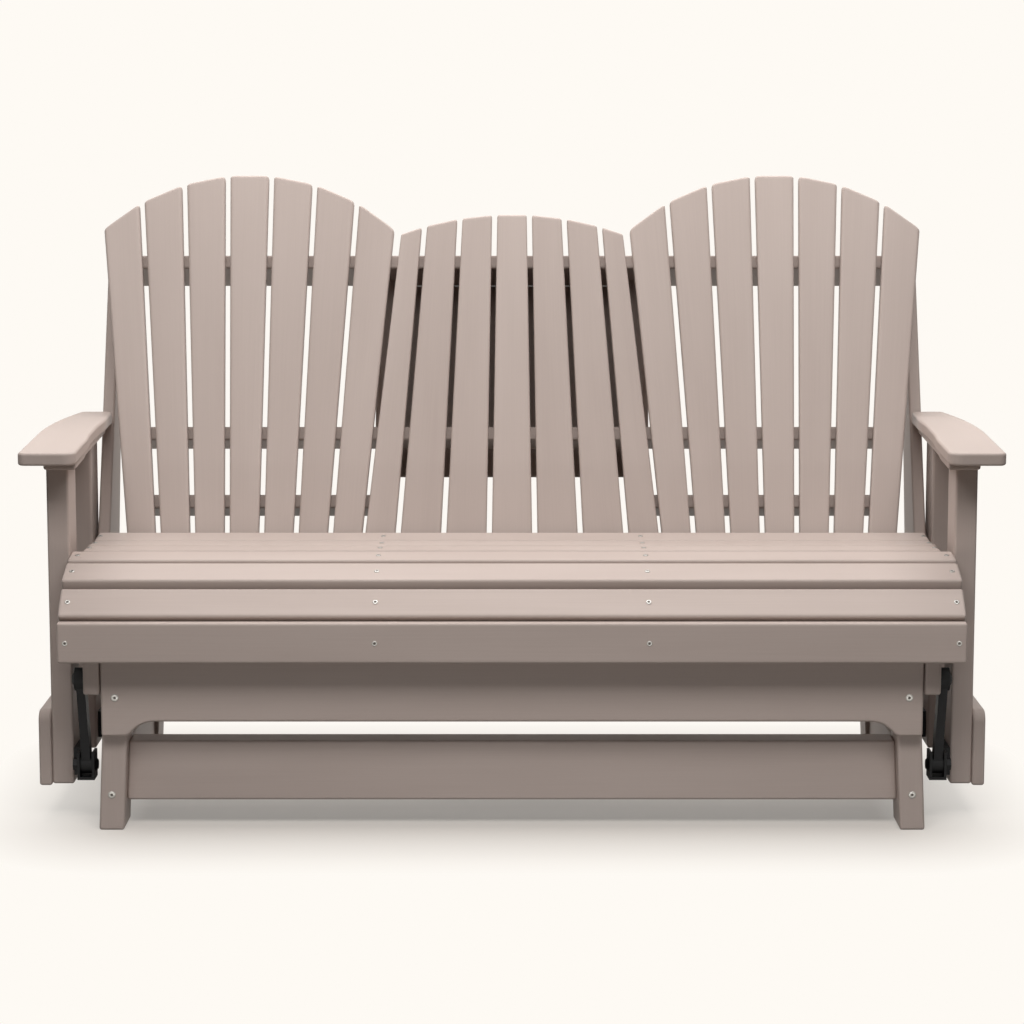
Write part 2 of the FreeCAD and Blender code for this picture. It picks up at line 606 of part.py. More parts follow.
node(rear_apron, "base_rear_apron")
fastener_node("base_bolts")

# Upper pivots: a button-headed bolt through link, spacer, side rail and leg, with its nut.
TOP_EYE_IN = size("top_eye_x") - size("eye_long") / 2
TOP_EYE_OUT = size("top_eye_x") + size("eye_long") / 2
LOW_EYE_IN = size("low_eye_x") - size("eye_long") / 2
LOW_EYE_OUT = size("low_eye_x") + size("eye_long") / 2
SIDE_PLAY = 0.4
HEAD_RADIUS, HEAD_TALL, NUT_RADIUS, NUT_TALL = 13, 4.5, 11, 9
NUT_SIDES = 6


def pivot_bolt(depth, height, head_at, nut_at):
    """A bolt along X from its button head to its hexagon nut, as one tightened piece."""
    toward = math.copysign(1, nut_at - head_at)
    axis = Vector(toward, 0, 0)
    start = Vector(head_at, y_at(depth), height)
    head = Part.makeCone(HEAD_RADIUS, HEAD_RADIUS * size("dome_share"), HEAD_TALL, start, -axis)
    shank = Part.makeCylinder(size("pin_radius"), abs(nut_at - head_at) + NUT_TALL, start, axis)
    turns = [2 * math.pi * corner / NUT_SIDES for corner in range(NUT_SIDES + 1)]
    ring = [Vector(nut_at, y_at(depth) + NUT_RADIUS * math.cos(a), height + NUT_RADIUS * math.sin(a))
            for a in turns]
    nut = Part.Face(Part.makePolygon(ring)).extrude(axis * NUT_TALL)
    return head.fuse([shank, nut]).removeSplitter()


def mirrored_shapes(shapes):
    """The shapes and their left-hand twins."""
    return shapes + [s.mirror(Vector(0, 0, 0), Vector(1, 0, 0)) for s in shapes]


def shape_node(label, shapes):
    """A node of several like solids made straight from their shapes."""
    feature = doc.addObject("Part::Feature", label)
    feature.Shape = Part.Compound(shapes)
    return node(feature, label)


bolts = [pivot_bolt(depth, size("pivot_top"), TOP_EYE_OUT + SIDE_PLAY, size("leg_x"))
         for name, depth in PIVOTS]
shape_node("upper_pivot_bolts", mirrored_shapes(bolts))
SPACER_RADIUS = 12
spacers = []
for name, depth in PIVOTS:
    start = Vector(RAIL_OUT, y_at(depth), size("pivot_top"))
    long = TOP_EYE_IN - SIDE_PLAY - RAIL_OUT
    ring = Part.makeCylinder(SPACER_RADIUS, long, start, Vector(1, 0, 0))
    hole = Part.makeCylinder(size("pin_radius") + size("fit"), long, start, Vector(1, 0, 0))
    spacers.append(ring.cut(hole))
shape_node("upper_pivot_spacers", mirrored_shapes(spacers))

# Swing links: a flat bar between two eyes, cranked inwards to the lower one; each eye
# holds a bush.
def tube(name, x, depth, height, radius):
    """A round along X, as long as a link's eye."""
    round_bar = bind(doc.addObject("Part::Cylinder", name), Radius=radius, Height="Sizes.eye_long")
    round_bar.Placement = Placement(Vector(x, y_at(depth), height), Rotation(Vector(0, 1, 0), 90))
    return round_bar


for name, depth in PIVOTS:
    eyes = ((TOP_EYE_IN, size("pivot_top"), "top"), (LOW_EYE_IN, size("pivot_low"), "low"))
    rounds = [tube(f"{name}_{end}_eye", x, depth, z, f"Sizes.{end}_eye_radius") for x, z, end in eyes]
    seats = [tube(f"{name}_{end}_seat", x, depth, z, "Sizes.bush_radius + Sizes.fit") for x, z, end in eyes]
    rise = size("pivot_top") - size("pivot_low")
    lean = math.degrees(math.atan2(size("top_eye_x") - size("low_eye_x"), rise))
    bar = doc.addObject("Part::Box", f"{name}_bar")
    bind(bar, Length="Sizes.link_thick", Width="Sizes.link_wide", Height="Sizes.pivot_top - Sizes.pivot_low")
    bar_x = size("low_eye_x") - size("link_thick") / 2
    bar_front = y_at(depth) - size("link_wide") / 2
    corner = Vector(bar_x, bar_front, size("pivot_low"))
    bar.Placement = Placement(corner, Rotation(Vector(0, 1, 0), lean))
    link = cut(f"{name}_link", join(f"{name}_link_blank", rounds + [bar]), group(f"{name}_seats", seats))
    both_sides(link, f"swing_link_{name}")
    sleeves = [tube(f"{name}_{end}_sleeve", x, depth, z, "Sizes.bush_radius") for x, z, end in eyes]
    bores = [tube(f"{name}_{end}_bore", x, depth, z, "Sizes.pin_radius + Sizes.fit") for x, z, end in eyes]
    bushes = cut(f"{name}_bushes", group(f"{name}_sleeves", sleeves), group(f"{name}_bores", bores))
    both_sides(bushes, f"link_bushes_{name}")

# Hangers: a clevis round each link's lower eye, with a lug along the post to bolt it on.
HANGER_REACH, LUG_LONG = 20, size("post_wide")
CHEEK_IN = LOW_EYE_IN - SIDE_PLAY - size("cheek")
CHEEK_OUT = LOW_EYE_OUT + SIDE_PLAY
WEB_TALL = 5
hangers = []
for name, depth in PIVOTS:
    to_post = 1 if name == "front" else -1
    clevis_at = depth - HANGER_REACH
    near = depth + HANGER_REACH if to_post > 0 else depth - HANGER_REACH - LUG_LONG
    web_wide = CHEEK_OUT + size("cheek") - CHEEK_IN
    pieces = [
        block(f"{name}_inner_cheek", CHEEK_IN, clevis_at, size("hanger_low"),
              "Sizes.cheek", str(2 * HANGER_REACH), "Sizes.hanger_tall"),
        block(f"{name}_outer_cheek", CHEEK_OUT, clevis_at, size("hanger_low"),
              "Sizes.cheek", str(2 * HANGER_REACH), "Sizes.hanger_tall"),
        block(f"{name}_web", CHEEK_IN, clevis_at, size("hanger_low"),
              str(web_wide), str(2 * HANGER_REACH), str(WEB_TALL)),
        block(f"{name}_lug", CHEEK_OUT, near, size("hanger_low"),
              f"Sizes.post_x - {CHEEK_OUT}", str(LUG_LONG), "Sizes.hanger_tall"),
    ]
    bore = pivot_bore(f"{name}_low_bore", depth, size("pivot_low"), CHEEK_IN - BOARD, BORE_LONG)
    hangers.append(cut(f"{name}_hanger", join(f"{name}_hanger_blank", pieces), bore))
pair(group("hangers", hangers), "link_hangers")
bolts = [pivot_bolt(depth, size("pivot_low"), CHEEK_IN, CHEEK_OUT + size("cheek")) for name, depth in PIVOTS]
shape_node("lower_pivot_bolts", mirrored_shapes(bolts))

# Every sub-part has to be sound before any is written.
doc.recompute()
for obj in doc.Objects:
    if "Invalid" in obj.State or "Error" in obj.State:
        raise RuntimeError(f"{obj.Name} ({obj.Label}) failed: {obj.State}")
for obj in nodes:
    if obj.Shape.isNull() or not obj.Shape.isValid() or not obj.Shape.Solids:
        raise RuntimeError(f"{obj.Label} has no sound shape")

os.makedirs("parts", exist_ok=True)
whole = FreeCAD.BoundBox()
for obj in nodes:
    obj.Shape.exportStep(f"parts/{obj.Label}.step")
    whole.add(obj.Shape.BoundBox)
print(len(nodes), "nodes,", sum(len(obj.Shape.Solids) for obj in nodes), "solids")
print("box", [round(v, 1) for v in (whole.XMin, whole.YMin, whole.ZMin, whole.XMax, whole.YMax, whole.ZMax)])
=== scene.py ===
"""Porch glider bench: a poly lumber seat with a back of three slatted fans, hung from a standing base.

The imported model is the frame, in metres: X along the bench, -Y to the front, +Z up.
"""
import math

import bmesh
import bpy
import numpy as np
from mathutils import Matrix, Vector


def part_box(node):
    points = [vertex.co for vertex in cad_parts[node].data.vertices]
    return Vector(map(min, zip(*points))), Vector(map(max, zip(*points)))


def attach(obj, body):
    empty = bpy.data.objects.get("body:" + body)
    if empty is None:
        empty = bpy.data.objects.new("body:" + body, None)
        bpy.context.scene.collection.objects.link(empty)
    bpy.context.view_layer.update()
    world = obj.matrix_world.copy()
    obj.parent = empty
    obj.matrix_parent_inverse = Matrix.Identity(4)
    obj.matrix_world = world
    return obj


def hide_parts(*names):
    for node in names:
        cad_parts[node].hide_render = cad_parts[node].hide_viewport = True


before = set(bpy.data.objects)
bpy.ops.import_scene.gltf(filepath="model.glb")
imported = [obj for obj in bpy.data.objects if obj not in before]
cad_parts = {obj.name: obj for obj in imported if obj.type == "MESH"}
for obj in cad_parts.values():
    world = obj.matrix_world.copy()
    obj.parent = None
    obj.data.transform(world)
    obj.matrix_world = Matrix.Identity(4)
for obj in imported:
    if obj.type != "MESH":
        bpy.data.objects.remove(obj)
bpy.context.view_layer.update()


# Standing base: legs, side rails, stretchers and aprons of solid poly lumber.
# Recycled plastic is drawn out as boards, coloured taupe right through and brushed, so a fine
# grain runs along each one. The sawn edges are eased, and the boards are bolted together.
class Wire:
    """One output of a node. A sum written with wires adds its Math nodes to the tree."""

    def __init__(self, tree, made=None, key=0):
        self.tree, self.made, self.key = tree, made, key

    @staticmethod
    def pick(sockets, key):
        """A socket by its number, or the one in use under a name."""
        if isinstance(key, int):
            return sockets[key]
        return next(s for s in sockets if s.name == key and s.enabled)

    def node(self, kind, settings, sockets, key=0):
        """Any node: first its settings, then the values or links of its sockets."""
        made = self.tree.nodes.new(kind)
        for name, value in settings.items():
            setattr(made, name, value)
        for name, value in sockets.items():
            socket = self.pick(made.inputs, name)
            if isinstance(value, Wire):
                self.tree.links.new(self.pick(value.made.outputs, value.key), socket)
            else:
                socket.default_value = value
        return Wire(self.tree, made, key)

    def output(self, key):
        return Wire(self.tree, self.made, key)

    def sum(self, operation, *terms):
        return self.node("ShaderNodeMath", {"operation": operation}, dict(enumerate(terms)))

    def vector(self, operation, *terms):
        return self.node("ShaderNodeVectorMath", {"operation": operation}, dict(enumerate(terms)))

    def mix(self, share, start, end):
        """A blend of two colours."""
        settings = {"data_type": "RGBA"}
        return self.node("ShaderNodeMix", settings, {"Factor": share, "A": start, "B": end}, "Result")

    def noise(self, run, stretch, detail=2.0):
        """Noise from 0 to 1, finer or coarser along each direction of a run."""
        sockets = {"Vector": self.vector("MULTIPLY", run, stretch), "Scale": 1.0, "Detail": detail}
        return self.node("ShaderNodeTexNoise", {}, sockets)

    def __add__(self, other):
        return self.sum("ADD", self, other)

    def __sub__(self, other):
        return self.sum("SUBTRACT", self, other)

    def __mul__(self, other):
        return self.sum("MULTIPLY", self, other)

    def __truediv__(self, other):
        return self.sum("DIVIDE", self, other)

    def __rsub__(self, other):
        return self.sum("SUBTRACT", other, self)

    __radd__ = __add__


def srgb(red, green, blue):
    """A colour as the eye reads it, 0 to 255, in Blender's linear numbers."""
    shares = [v / 255 for v in (red, green, blue)]
    return [s / 12.92 if s <= 0.04045 else ((s + 0.055) / 1.055) ** 2.4 for s in shares] + [1]


def shader(name):
    """A new material with an empty tree, and the wires to fill it."""
    material = bpy.data.materials.new(name)
    material.use_nodes = True
    material.node_tree.nodes.clear()
    return material, Wire(material.node_tree)


def surface(wires, **sockets):
    """Close a material with one Principled surface."""
    named = {name.replace("_", " "): value for name, value in sockets.items()}
    made = wires.node("ShaderNodeBsdfPrincipled", {}, named)
    wires.node("ShaderNodeOutputMaterial", {}, {"Surface": made})


TAUPE_DARK, TAUPE_LIGHT = srgb(172, 156, 148), srgb(194, 179, 171)
BRUSHED_GRAIN, HAIRLINE_GRAIN = (5, 520, 520), (16, 1900, 1900)
CLOUD_GRAIN, SPECK_GRAIN = (2.2, 14, 14), (600, 1400, 1400)


def poly_lumber(name, turn=None):
    """Brushed taupe lumber. A turn brings the board's length to X; without one the piece says it."""
    material, wires = shader(name)
    if turn is None:
        run = wires.node("ShaderNodeAttribute", {"attribute_name": "board_run"}, {}, "Vector")
    else:
        place = wires.node("ShaderNodeTexCoord", {}, {}, "Object")
        run = wires.node("ShaderNodeMapping", {}, {"Vector": place, "Rotation": turn})
    tone = wires.node("ShaderNodeAttribute", {"attribute_name": "board_tone"}, {}, "Fac")
    brushed = wires.noise(run, BRUSHED_GRAIN, 3.0)
    hairline = wires.noise(run, HAIRLINE_GRAIN)
    cloudy = wires.noise(run, CLOUD_GRAIN)
    speck = wires.noise(run, SPECK_GRAIN, 1.0)
    share = 0.5 + (brushed - 0.5) * 0.3 + (hairline - 0.5) * 0.15 + (cloudy - 0.5) * 0.7 + tone * 0.12
    colour = wires.mix(share, TAUPE_DARK, TAUPE_LIGHT)
    relief = brushed * 0.6 + hairline * 0.3 + speck * 0.1
    bump = wires.node("ShaderNodeBump", {}, {"Strength": 0.12, "Distance": 0.0006, "Height": relief})
    rough = 0.46 + (brushed - 0.5) * 0.16 + (cloudy - 0.5) * 0.1
    surface(wires, Base_Color=colour, Roughness=rough, Normal=bump, Specular_IOR_Level=0.14)
    return material


def dress(material, *names):
    """Give CAD nodes a finish."""
    for name in names:
        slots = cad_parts[name].data.materials
        for place in range(len(slots)):
            slots[place] = material


QUARTER = math.pi / 2
lumber_lengthwise = poly_lumber("poly_lumber_lengthwise", (0, 0, 0))
lumber_upright = poly_lumber("poly_lumber_upright", (0, QUARTER, 0))
lumber_front_to_back = poly_lumber("poly_lumber_front_to_back", (0, 0, -QUARTER))
dress(lumber_upright, "base_front_legs", "base_rear_legs")
dress(lumber_lengthwise, "base_front_apron", "base_rear_apron", "base_front_stretcher")
dress(lumber_front_to_back, "base_side_rails", "base_side_stretchers")


# Base bolts: stainless button heads over the aprons, legs and side rails, pulled up from
# behind. Each head is a turned dome with a round socket, and its shank fills the hole.
# The socket colour is painted shade: a dark grey that stands for the shade in the recess of each head.
STEEL_DULL, STEEL_BRIGHT, SOCKET_PAINTED_SHADE = srgb(146, 144, 140), srgb(184, 182, 178), srgb(84, 80, 77)
HEAD_SIDES, HEAD_RINGS, SHANK_SIDES = 18, 7, 10
CROWN_FALL = 0.75
SAME_PLACE = 1e-6


def stainless_steel():
    """Turned stainless steel, slightly streaked, with painted shade in the sockets."""
    material, wires = shader("stainless_steel")
    place = wires.node("ShaderNodeTexCoord", {}, {}, "Object")
    streak = wires.noise(place, (900, 900, 90), 3.0)
    cloud = wires.noise(place, (160, 160, 160))
    socket = wires.node("ShaderNodeAttribute", {"attribute_name": "socket"}, {}, "Fac")
    metal = wires.mix(cloud, STEEL_DULL, STEEL_BRIGHT)
    # Painted shade: the socket of each head is coloured darker than the steel around it.
    colour = wires.mix(socket, metal, SOCKET_PAINTED_SHADE)
    rough = 0.24 + streak * 0.16 + socket * 0.3
    bump = wires.node("ShaderNodeBump", {}, {"Strength": 0.1, "Distance": 0.0002, "Height": streak})
    surface(wires, Base_Color=colour, Roughness=rough, Normal=bump, Metallic=1.0)
    return material


def node_tree(name, inputs):
    """A geometry tree with named inputs: its wires, and the wire of its inputs."""
    kinds = {int: "NodeSocketInt", float: "NodeSocketFloat", str: "NodeSocketMaterial"}
    tree = bpy.data.node_groups.new(name, "GeometryNodeTree")
    tree.interface.new_socket("Geometry", in_out="INPUT", socket_type="NodeSocketGeometry")
    tree.interface.new_socket("Geometry", in_out="OUTPUT", socket_type="NodeSocketGeometry")
    for label, value in inputs.items():
        socket = tree.interface.new_socket(label, in_out="INPUT", socket_type=kinds[type(value)])
        if not isinstance(value, str):
            socket.default_value = value
    wires = Wire(tree)
    return wires, wires.node("NodeGroupInput", {}, {})


def close_tree(wires, geometry, given):
    """End a geometry tree: real faces, smooth, in the material that is given."""
    real = wires.node("GeometryNodeRealizeInstances", {}, {"Geometry": geometry})
    smooth = wires.node("GeometryNodeSetShadeSmooth", {}, {"Geometry": real})
    painted = wires.node("GeometryNodeSetMaterial", {}, {
        "Geometry": smooth, "Material": given.output("Material")})
    wires.node("NodeGroupOutput", {}, {"Geometry": painted})


def named(wires, name, kind="FLOAT_VECTOR"):
    """A stored attribute, read back."""
    return wires.node("GeometryNodeInputNamedAttribute", {"data_type": kind}, {"Name": name})


def store(wires, geometry, name, value, kind="FLOAT_VECTOR", domain="POINT"):
    """Geometry with a value stored on it under a name."""
    return wires.node("GeometryNodeStoreNamedAttribute", {"data_type": kind, "domain": domain}, {
        "Geometry": geometry, "Name": name, "Value": value})


def grown(name, tree, seed_mesh, inputs, body):
    """Run a geometry tree and keep the result as a plain mesh that rides on a body."""
    seed = bpy.data.objects.new(f"{name}_seed", seed_mesh)
    bpy.context.scene.collection.objects.link(seed)
    modifier = seed.modifiers.new("rule", "NODES")
    modifier.node_group = tree
    for item in tree.interface.items_tree:
        if item.in_out == "INPUT" and item.name in inputs:
            modifier[item.identifier] = inputs[item.name]
    graph = bpy.context.evaluated_depsgraph_get()
    mesh = bpy.data.meshes.new_from_object(
        seed.evaluated_get(graph), preserve_all_data_layers=True, depsgraph=graph)
    bpy.data.objects.remove(seed)
    piece = bpy.data.objects.new(name, mesh)
    bpy.context.scene.collection.objects.link(piece)
    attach(piece, body)
    return piece


def fastener_rule():
    """Heads with a socket and a shank, one on each point, facing the way that the point says."""
    wires, given = node_tree("fasteners", {
        "Head radius": 0.0, "Head height": 0.0, "Socket radius": 0.0, "Socket depth": 0.0,
        "Shank radius": 0.0, "Seed": 0, "Material": ""})
    head = wires.node("GeometryNodeMeshCylinder", {"fill_type": "TRIANGLE_FAN"}, {
        "Vertices": HEAD_SIDES, "Side Segments": 1, "Fill Segments": HEAD_RINGS,
        "Radius": 1.0, "Depth": 1.0})
    place = wires.node("GeometryNodeInputPosition", {}, {})
    parts = wires.node("ShaderNodeSeparateXYZ", {}, {0: place})
    x_squared = parts.output("X") * parts.output("X")
    out = wires.sum("SQRT", x_squared + parts.output("Y") * parts.output("Y"))
    crown = wires.sum("SQRT", wires.sum("MAXIMUM", 1.0 - out * out * CROWN_FALL, 0.0))
    bite = given.output("Socket radius") / given.output("Head radius")
    in_socket = wires.sum("LESS_THAN", out, bite)
    top = given.output("Head height") * crown - in_socket * given.output("Socket depth")
    is_top = wires.sum("GREATER_THAN", parts.output("Z"), 0.0)
    wide = given.output("Head radius")
    shaped = wires.node("ShaderNodeCombineXYZ", {}, {
        "X": parts.output("X") * wide, "Y": parts.output("Y") * wide, "Z": top * is_top})
    head = store(wires, head, "socket", in_socket * is_top, "FLOAT")
    head = wires.node("GeometryNodeSetPosition", {}, {"Geometry": head, "Position": shaped})
    length = named(wires, "shank", "FLOAT")
    shank = wires.node("GeometryNodeMeshCylinder", {}, {
        "Vertices": SHANK_SIDES, "Radius": given.output("Shank radius"), "Depth": 1.0})
    lowered = wires.node("GeometryNodeTransform", {}, {"Geometry": shank, "Translation": (0, 0, -0.5)})
    aligned = wires.node("FunctionNodeAlignRotationToVector", {"axis": "Z"}, {
        "Vector": named(wires, "facing")})
    spin = wires.node("FunctionNodeRandomValue", {"data_type": "FLOAT"}, {
        "Min": 0.0, "Max": math.tau, "Seed": given.output("Seed")}, "Value")
    about = wires.node("ShaderNodeCombineXYZ", {}, {"Z": spin})
    turned = wires.node("FunctionNodeRotateRotation", {"rotation_space": "LOCAL"}, {
        "Rotation": aligned, "Rotate By": about})
    heads = wires.node("GeometryNodeInstanceOnPoints", {}, {
        "Points": given, "Instance": head, "Rotation": turned})
    stretch = wires.node("ShaderNodeCombineXYZ", {}, {"X": 1.0, "Y": 1.0, "Z": length})
    shanks = wires.node("GeometryNodeInstanceOnPoints", {}, {
        "Points": given, "Instance": lowered, "Rotation": turned, "Scale": stretch})
    both = wires.node("GeometryNodeJoinGeometry", {}, {})
    for part in (heads, shanks):
        wires.tree.links.new(part.made.outputs[0], both.made.inputs[0])
    close_tree(wires, both, given)
    return wires.tree


def fastener_points(node):
    """One point for each solid of a CAD fastener node, in order: its seat, its facing and its shank."""
    solids = bmesh.new()
    solids.from_mesh(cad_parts[node].data)
    bmesh.ops.remove_doubles(solids, verts=solids.verts, dist=SAME_PLACE)
    reached = set()
    seats, facings, shanks = [], [], []
    for first in solids.verts:
        if first in reached:
            continue
        reached.add(first)
        front = [first]
        solid = []
        while front:
            vert = front.pop()
            solid.append(vert.co)
            near = [edge.other_vert(vert) for edge in vert.link_edges]
            front += [other for other in near if other not in reached]
            reached.update(near)
        cloud = np.array(solid)
        middle = cloud.mean(0)
        axis = np.linalg.svd(cloud - middle)[2][0]
        along = (cloud - middle) @ axis
        out = np.linalg.norm(cloud - middle - np.outer(along, axis), axis=1)
        seat = along[out.argmax()]
        side = 1 if along.max() - seat < seat - along.min() else -1
        seats.append(middle + axis * seat)
        facings.append(axis * side)
        shanks.append(max(abs(along - seat)))
    solids.free()
    mesh = bpy.data.meshes.new(f"{node}_points")
    mesh.from_pydata([tuple(s) for s in seats], [], [])
    mesh.attributes.new("facing", "FLOAT_VECTOR", "POINT").data.foreach_set("vector", np.ravel(facings))
    mesh.attributes.new("shank", "FLOAT", "POINT").data.foreach_set("value", shanks)
    return mesh


fasteners = fastener_rule()
stainless = stainless_steel()
BUTTON_HEAD = {"Head radius": 0.0064, "Head height": 0.0028, "Socket radius": 0.0025,
               "Socket depth": 0.0016, "Shank radius": 0.004, "Seed": 3, "Material": stainless}
base_bolts = grown("base_button_bolts", fasteners, fastener_points("base_bolts"), BUTTON_HEAD,
                   "base")
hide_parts("base_bolts")


# Swing links: four cranked steel bars with a bushed eye at each end, powder coated black.
# They hang from bolts through the side rails, and clevis hangers on the posts hold their feet.
COAT_DARK, COAT_LIGHT = srgb(9, 9, 10), srgb(20, 20, 21)
NYLON_DARK, NYLON_LIGHT = srgb(52, 52, 54), srgb(70, 70, 72)


def black_powder_coat():
    """Satin black powder coat with its fine orange-peel skin."""
    material, wires = shader("black_powder_coat")
    place = wires.node("ShaderNodeTexCoord", {}, {}, "Object")
    peel = wires.noise(place, (700, 700, 700))
    cloud = wires.noise(place, (40, 40, 40))
    colour = wires.mix(cloud, COAT_DARK, COAT_LIGHT)
    rough = 0.44 + cloud * 0.16
    bump = wires.node("ShaderNodeBump", {}, {"Strength": 0.25, "Distance": 0.0003, "Height": peel})
    surface(wires, Base_Color=colour, Roughness=rough, Normal=bump, Specular_IOR_Level=0.2)
    return material


def nylon():
    """Dark grey nylon with a faint moulded mottle."""
    material, wires = shader("bush_nylon")
    place = wires.node("ShaderNodeTexCoord", {}, {}, "Object")
    mottle = wires.noise(place, (300, 300, 300))
    colour = wires.mix(mottle, NYLON_DARK, NYLON_LIGHT)
    surface(wires, Base_Color=colour, Roughness=0.5 + mottle * 0.1)
    return material


black_coat = black_powder_coat()
bush_nylon = nylon()
for end in ("front", "rear"):
    for side in ("left", "right"):
        dress(black_coat, f"swing_link_{end}_{side}")
        dress(bush_nylon, f"link_bushes_{end}_{side}")
dress(black_coat, "link_hangers", "upper_pivot_spacers", "upper_pivot_bolts", "lower_pivot_bolts")


# Seat frame: supports on edge under the slats, posts outside them and boards that tie the posts.
# Framing boards and posts are the same lumber in thicker stock; bolts go in from outside.
dress(lumber_front_to_back, "seat_end_supports", "seat_inner_supports", "lower_side_boards")
dress(lumber_upright, "front_post_left", "front_post_right", "rear_post_left", "rear_post_right")
frame_bolts = grown("frame_button_bolts", fasteners, fastener_points("frame_bolts"), BUTTON_HEAD,
                    "seat")
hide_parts("frame_bolts")


# Seat boards: an upright apron and six slats laid over the supports in a rolled contour.
# Each is a length of flat lumber with eased edges, screwed down at both ends and twice between.
SEAT_BOARD_NODES = ["seat_apron_board"] + [f"seat_slat_{n}" for n in range(1, 7)]
SEAT_TILTS = [math.radians(t) for t in (0, 40, 18, 6, -2.5, -2, 4)]
BOARD_THICK = 0.022
EDGE_ROUND = 0.0045
FLAT_BAND = 0.004
CUBE_POINTS = 10
FLAT_REACH = 1 / 3
TURN_SCALE = 1 / (1 - FLAT_REACH)
BAND_SCALE = FLAT_BAND / (FLAT_REACH - 1 / (CUBE_POINTS - 1))


def eased_corner(wires, corner, half, round_over):
    """Where a point of a finely divided cube goes on a board of that half size with rounded edges."""
    reach = wires.vector("ABSOLUTE", wires.vector("MULTIPLY", corner, (2, 2, 2)))
    turn = wires.vector("SUBTRACT", reach, (FLAT_REACH,) * 3)
    turn = wires.vector("MAXIMUM", wires.vector("MULTIPLY", turn, (TURN_SCALE,) * 3), (0, 0, 0))
    bend = wires.vector("TANGENT", wires.vector("MULTIPLY", turn, (math.pi / 4,) * 3))
    inner = wires.vector("MAXIMUM", wires.vector("SUBTRACT", (FLAT_REACH,) * 3, reach), (0, 0, 0))
    inner = wires.vector("MULTIPLY", inner, (BAND_SCALE,) * 3)
    radius = wires.node("ShaderNodeCombineXYZ", {}, {"X": round_over, "Y": round_over, "Z": round_over})
    core = wires.vector("SUBTRACT", wires.vector("SUBTRACT", half, radius), inner)
    rolled = wires.vector("MULTIPLY", wires.vector("NORMALIZE", bend), radius)
    return wires.vector("MULTIPLY", wires.vector("ADD", core, rolled), wires.vector("SIGN", corner))


def divided_cube(wires):
    """A unit cube fine enough to round over; its points keep their place on the cube by name."""
    cube = wires.node("GeometryNodeMeshCube", {}, {
        "Size": (1, 1, 1), "Vertices X": CUBE_POINTS, "Vertices Y": CUBE_POINTS, "Vertices Z": CUBE_POINTS})
    return store(wires, cube, "corner", wires.node("GeometryNodeInputPosition", {}, {}))


def tone_boards(wires, geometry, seed):
    """Each board drawn a little lighter or darker than the next."""
    tone = wires.node("FunctionNodeRandomValue", {"data_type": "FLOAT"}, {
        "Min": -1.0, "Max": 1.0, "Seed": seed}, "Value")
    return store(wires, geometry, "board_tone", tone, "FLOAT", "INSTANCE")


def flat_board_rule():
    """Eased boards on points that hold each board's place, size and tilt about X."""
    wires, given = node_tree("flat_boards", {"Edge round": 0.0, "Seed": 0, "Material": ""})
    boards = wires.node("GeometryNodeInstanceOnPoints", {}, {
        "Points": given, "Instance": divided_cube(wires)})
    boards = tone_boards(wires, boards, given.output("Seed"))
    real = wires.node("GeometryNodeRealizeInstances", {}, {"Geometry": boards})
    half = wires.vector("MULTIPLY", named(wires, "board_size"), (0.5, 0.5, 0.5))
    local = eased_corner(wires, named(wires, "corner"), half, given.output("Edge round"))
    tilted = wires.node("ShaderNodeVectorRotate", {"rotation_type": "X_AXIS"}, {
        "Vector": local, "Angle": named(wires, "board_tilt", "FLOAT")})
    middle = named(wires, "board_middle")
    laid = wires.node("GeometryNodeSetPosition", {}, {
        "Geometry": store(wires, real, "board_run", wires.vector("ADD", local, middle)),
        "Position": wires.vector("ADD", tilted, middle)})
    close_tree(wires, laid, given)
    return wires.tree


def board_points(nodes, tilts):
    """The place, size and tilt of boards, from the boxes of their CAD nodes."""
    middles, sizes = [], []
    for node, tilt in zip(nodes, tilts):
        low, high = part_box(node)
        deep, tall = high.y - low.y, high.z - low.z
        thin = (BOARD_THICK - 2 * EDGE_ROUND) * abs(math.sin(tilt))
        wide = (deep - 2 * EDGE_ROUND - thin) / math.cos(tilt) + 2 * EDGE_ROUND
        upright = tilt == 0 and tall > deep
        sizes.append((high.x - low.x, deep, tall) if upright else (high.x - low.x, wide, BOARD_THICK))
        middles.append((low + high) / 2)
    mesh = bpy.data.meshes.new("board_points")
    mesh.from_pydata(middles, [], [])
    for name, values in (("board_middle", middles), ("board_size", sizes)):
        mesh.attributes.new(name, "FLOAT_VECTOR", "POINT").data.foreach_set("vector", np.ravel(values))
    mesh.attributes.new("board_tilt", "FLOAT", "POINT").data.foreach_set("value", tilts)
    return mesh


lumber_board = poly_lumber("poly_lumber_board")
SEAT_BOARD = {"Edge round": EDGE_ROUND, "Seed": 5, "Material": lumber_board}
seat_boards = grown("seat_boards", flat_board_rule(), board_points(SEAT_BOARD_NODES, SEAT_TILTS),
                    SEAT_BOARD, "seat")
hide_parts(*SEAT_BOARD_NODES)
PAN_HEAD = {"Head radius": 0.0046, "Head height": 0.0016, "Socket radius": 0.0021,
            "Socket depth": 0.0012, "Shank radius": 0.0025, "Seed": 7, "Material": stainless}
seat_screws = grown("seat_pan_screws", fasteners, fastener_points("seat_screws"), PAN_HEAD,
                    "seat")
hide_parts("seat_screws")


# Back frame: deep rails behind the slats between two end uprights, two inner uprights, a panel.
# The uprights are half lapped into the seat supports and lean back with the slats.
RECLINE = math.radians(18)
lumber_reclined = poly_lumber("poly_lumber_reclined", (RECLINE, QUARTER, 0))
dress(lumber_lengthwise, "back_low_rail", "back_mid_rail", "back_top_rail", "centre_back_panel")
dress(lumber_reclined, "back_end_uprights", "back_inner_uprights")
back_bolts = grown("back_button_screws", fasteners, fastener_points("back_screws"), BUTTON_HEAD,
                   "seat")
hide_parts("back_screws")


